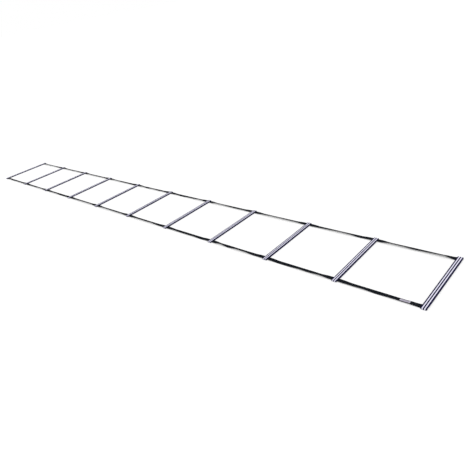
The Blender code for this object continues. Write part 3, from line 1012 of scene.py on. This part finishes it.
navy, shader, wire = new_material("moulded_navy", specular=0.03)
place = wire.node("ShaderNodeTexCoord", out="Object")
grain = wire.node("ShaderNodeTexNoise", Vector=place, Scale=1800.0, Detail=2.0)
scuff = wire.node("ShaderNodeTexNoise", Vector=place, Scale=60.0, Detail=6.0)
rim = (from_middle(place) + place.parts()[2]).rise(RIM_SUM - RUB_START, RIM_SUM - RUB_FULL)
scratch = scratches(place, math.radians(24), 0.60, 0.70) * scuff.rise(0.42, 0.58)
worn = rim * scuff.rise(0.48, 0.62) * 0.5 + scratch * 0.4
mottle = (grain * 0.65 + scuff * 0.35).rise(0.36, 0.64)
body_colour = mottle.colour(times(0.7, NAVY), times(1.2, NAVY))
feed(shader, Base_Color=worn.colour(body_colour, RUBBED),
     Roughness=scuff * 0.16 + scratch * 0.1 + 0.34,
     Normal=wire.node("ShaderNodeBump", Strength=0.35, Distance=0.1 * MM,
                       Height=grain - scratch * 0.5))
for piece in slat_pieces:
    piece.data.materials.append(navy)
print("navy rim at a sum of", round(RIM_SUM / MM, 2), "mm")

# %% [markdown]
# ## Finish: pale satin plastic
# Pale plastic shows dirt, above all along its edges, where a cloth can't reach. So a grey
# is laid in towards both sides of a band and broken up by a noise, and faint scuffs cross
# it. All of it stays light: from the camera's distance a band has to read as clean.
# %% Pale satin plastic
PALE = (0.850, 0.835, 0.995)
GRIME = (0.500, 0.480, 0.580)
BAND_HALF = GROOVE_WIDTH / 2 - BAND_GAP
GRIME_WIDTH = 0.5 * MM

pale, shader, wire = new_material("pale_band")
place = wire.node("ShaderNodeTexCoord", out="Object")
cloud = wire.node("ShaderNodeTexNoise", Vector=place, Scale=90.0, Detail=5.0)
grain = wire.node("ShaderNodeTexNoise", Vector=place, Scale=2200.0)
off_middle = abs(from_middle(place) - (CENTRE_RIB + GROOVE_WIDTH) / 2)
edge_dirt = off_middle.rise(BAND_HALF - GRIME_WIDTH, BAND_HALF) * cloud.rise(0.35, 0.75)
scuffed = scratches(place, math.radians(-31), 0.58, 0.70) * cloud.rise(0.45, 0.60)
feed(shader, Base_Color=(edge_dirt * 0.6 + scuffed * 0.25).colour(PALE, GRIME),
     Roughness=cloud * 0.15 + scuffed * 0.08 + 0.38,
     Normal=wire.node("ShaderNodeBump", Strength=0.2, Distance=0.1 * MM, Height=grain))
for piece in band_pieces:
    piece.data.materials.append(pale)
print("band half", round(BAND_HALF / MM, 2), "mm wide")

# %% [markdown]
# ## Finish: black woven webbing
# Webbing shows columns of warp yarns along it, each of short floats that slant one way and,
# in the next column, the other, which reads as chevrons. At both sides a tight selvedge
# holds the weave. The pattern counts columns across and picks along, on the flat places
# kept as an attribute, so it bends and turns with the strip.
# %% Black woven webbing
BLACK = (0.0040, 0.0050, 0.0070)
PICK = 1.8 * MM
TIGHT_PICK = 0.8 * MM
SELVEDGE = 11.7 * MM
SELVEDGE_BLEND = 0.1 * MM
FLOAT_SLANT = 0.6
SHADE_PER_COLUMN = 0.7
SHADES_PER_METRE = 40.0


def on_the_cloth(wire):
    """Tell where a point lies on the flat cloth, along it and across it."""
    kept = wire.node("ShaderNodeAttribute", {"attribute_name": "weave_place"}, out="Vector")
    return kept.parts()[:2]


woven_black, shader, wire = new_material("black_weave", specular=0.03)
along, across = on_the_cloth(wire)
column = across / COLUMN
count = column.math("FLOOR")
slant = (count % 2.0) * 2.0 - 1.0
floats = (along / PICK + (column - count - 0.5) * slant * FLOAT_SLANT).ridges(0.5)
selvedge = abs(across).rise(SELVEDGE - SELVEDGE_BLEND, SELVEDGE + SELVEDGE_BLEND)
tight = (along / TIGHT_PICK).ridges()
height = column.ridges() * (floats * 0.6 + 0.4) * (1 - selvedge) + tight * selvedge
yarn = wire.node("ShaderNodeCombineXYZ", X=count * SHADE_PER_COLUMN, Y=along * SHADES_PER_METRE)
shade = wire.node("ShaderNodeTexNoise", Vector=yarn, Scale=1.0, Detail=2.0)
# The colour follows the weave's height: yarn tops get a painted highlight and the valleys
# between them painted shade. The noise adds a yarn tone that differs at random.
yarn_tone_and_painted_shade = height * 0.8 + shade * 0.4 - 0.1
feed(shader, Base_Color=yarn_tone_and_painted_shade.colour(times(0.1, BLACK), times(2.8, BLACK)),
     Roughness=0.85 - shade * 0.2,
     Normal=wire.node("ShaderNodeBump", Strength=0.9, Distance=0.3 * MM, Height=height))
for piece in webbing_pieces:
    piece.data.materials.append(woven_black)
print("weave: columns of", round(COLUMN / MM, 2), "mm")

# %% [markdown]
# ## Finish: sewing thread
# Thread is plies twisted together. On a stitch of three millimetres that is a slanted
# stripe of about half a millimetre, enough to break its highlight. Bonded thread shines a
# little more than the webbing, which is why seams can be seen at all, black on black.
# %% Sewing thread
THREAD = (0.016, 0.017, 0.021)
LILAC_THREAD = (0.36, 0.34, 0.41)
TWIST = 0.5 * MM


def thread_finish(name, colour, roughness):
    """Make twisted thread in a colour."""
    thread, shader, wire = new_material(name, roughness)
    along, across = on_the_cloth(wire)
    ply = ((along + across) / TWIST).ridges(0.7)
    # The colour is darker in the grooves between the plies: painted shade, on top of the bump of
    # the twist.
    feed(shader, Base_Color=ply.colour(times(0.6, colour), colour),
         Normal=wire.node("ShaderNodeBump", Strength=0.5, Distance=0.1 * MM, Height=ply))
    return thread


black_thread = thread_finish("black_thread", THREAD, 0.55)
for piece in seams:
    piece.data.materials.append(black_thread)
label_seam.data.materials.append(thread_finish("lilac_thread", LILAC_THREAD, 0.6))
print("twist of", round(TWIST / MM, 2), "mm")

# %% [markdown]
# ## Finish: bare label
# The label's ribbon is woven much finer than webbing. Where its ends are turned under, the
# pale lining shows through and the cloth is doubled, so both short ends are lighter in the
# picture. A woven rim keeps its long sides from fraying.
# %% Bare label
LILAC = (0.420, 0.390, 0.470)
LILAC_END = (0.560, 0.530, 0.620)
LILAC_WEAVE_SHADE_AND_RIM = (0.2, 0.19, 0.25)
LABEL_WARP = 0.36 * MM
LABEL_WEFT = 0.30 * MM
LABEL_RIM = 0.8 * MM
RIM_BLEND = 0.1 * MM
END_BLEND = 0.3 * MM

damask, shader, wire = new_material("bare_damask", roughness=0.8, specular=0.2)
along, across = on_the_cloth(wire)
from_end = along.math("MINIMUM", label_flat - along)
doubled_length = 2 * TURNED_UNDER + fold_length
doubled = 1 - from_end.rise(doubled_length - END_BLEND, doubled_length + END_BLEND)
rim_start = LABEL_WIDTH / 2 - LABEL_RIM
rim = abs(across).rise(rim_start, rim_start + RIM_BLEND)
weave = (across / LABEL_WARP).ridges() * (along / LABEL_WEFT).ridges()
cloth_colour = doubled.colour(LILAC, LILAC_END)
# Between the threads of the weave the colour is darkened: painted shade. The woven rim along the
# long sides is a darker tone of the cloth itself.
weave_shade_and_rim_tone = (1 - weave) * 0.16 + rim * 0.14
feed(shader, Base_Color=weave_shade_and_rim_tone.colour(cloth_colour, LILAC_WEAVE_SHADE_AND_RIM),
     Normal=wire.node("ShaderNodeBump", Strength=0.4, Distance=0.08 * MM, Height=weave))
label.data.materials.append(damask)
print("label cloth: warp", round(LABEL_WARP / MM, 2), "weft", round(LABEL_WEFT / MM, 2), "mm")
